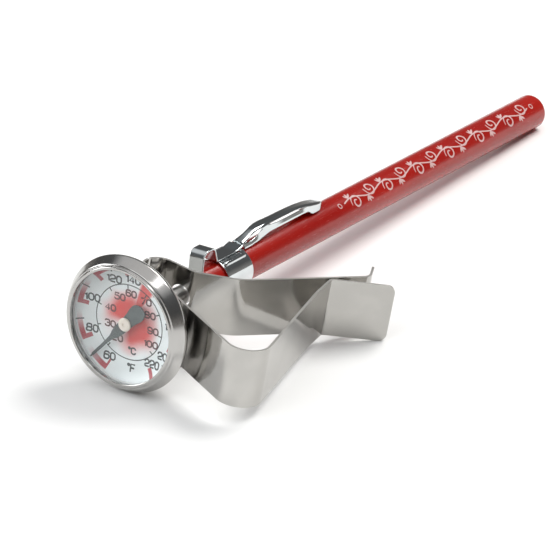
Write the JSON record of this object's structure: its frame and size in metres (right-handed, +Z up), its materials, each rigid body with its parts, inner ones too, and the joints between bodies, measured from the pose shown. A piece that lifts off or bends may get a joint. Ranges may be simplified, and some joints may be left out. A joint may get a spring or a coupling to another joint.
{
  "type": "pocket dial thermometer",
  "caption": "Pocket dial thermometer with a slim stem, a bent spring-steel pan clip and a plastic sheath with a pocket clip, lying on its side.",
  "frame": {"origin": "bottom centre of the bounding box, on the surface the thermometer lies on", "axes": "+Z up; +Y from the dial head towards the sheath's closed tip; the dial faces -Y; the pan clip reaches towards +X"},
  "size_m": [0.0452, 0.1532, 0.0275],
  "materials": {
    "polished_steel": "polished",
    "satin_steel": "satin",
    "spring_steel": "bright rolled",
    "clip_chrome": "polished",
    "crystal_clear": "polished",
    "gasket_grey": "matte",
    "spacer_white": "satin",
    "dial_white": "satin",
    "pointer_dark": "satin",
    "hub_cream": "satin",
    "inner_steel": "satin",
    "bush_brass": "satin",
    "seal_black": "matte",
    "sheath_red": "gloss"
  },
  "bodies": {
    "head": {"bezel_ring": "polished_steel", "case_cup": "polished_steel", "crystal": "crystal_clear", "crystal_gasket": "gasket_grey", "dial_spacer": "spacer_white", "dial_plate": "dial_white"},
    "stem": {"stem_tube": "satin_steel", "stem_flange": "inner_steel", "spring_washer": "inner_steel", "stem_seal": "seal_black", "calibration_nut": "satin_steel", "upper_guide_bush": "bush_brass", "lower_guide_bush": "bush_brass", "helix_anchor": "bush_brass", "bimetal_helix": "inner_steel"},
    "pointer": {"pointer": "pointer_dark", "pointer_hub": "hub_cream", "spindle": "inner_steel"},
    "pan_clip": {"pan_clip_strip": "spring_steel"},
    "far_leg": {"pan_clip_far_leg": "spring_steel"},
    "sheath": {"sheath_tube": "sheath_red", "pocket_clip_collar": "clip_chrome"},
    "pocket_arm": {"pocket_clip_arm": "clip_chrome"}
  },
  "joints": [
    {"name": "calibration_turn", "type": "hinge", "parent": "head", "child": "stem", "pos_m": [-0.00883, -0.07586, 0.01392], "axis": [0, 0.9977, -0.0677], "range_deg": [-20, 20]},
    {"name": "pointer_turn", "type": "hinge", "parent": "stem", "child": "pointer", "pos_m": [-0.00883, -0.07586, 0.01392], "axis": [0, 0.9977, -0.0677], "range_deg": [-25, 290], "stiffness_Nm_per_rad": 0.00002},
    {"name": "pan_clip_slide", "type": "slide", "parent": "stem", "child": "pan_clip", "axis": [0, 0.9977, -0.0677], "range_m": [0, 0.1]},
    {"name": "far_leg_flex", "type": "hinge", "parent": "pan_clip", "child": "far_leg", "pos_m": [-0.01218, -0.05881, 0.0133], "axis": [0.1579, 0.0669, 0.9852], "range_deg": [0, 2.5], "stiffness_Nm_per_rad": 0.04, "springref_deg": -2.86},
    {"name": "sheath_slide", "type": "slide", "parent": "pan_clip", "child": "sheath", "axis": [0, 0.9977, -0.0677], "range_m": [0, 0.112]},
    {"name": "pocket_arm_flex", "type": "hinge", "parent": "sheath", "child": "pocket_arm", "pos_m": [-0.00883, -0.03602, 0.01603], "axis": [1, 0, 0], "range_deg": [0, 4], "stiffness_Nm_per_rad": 0.01, "springref_deg": -2.86}
  ]
}
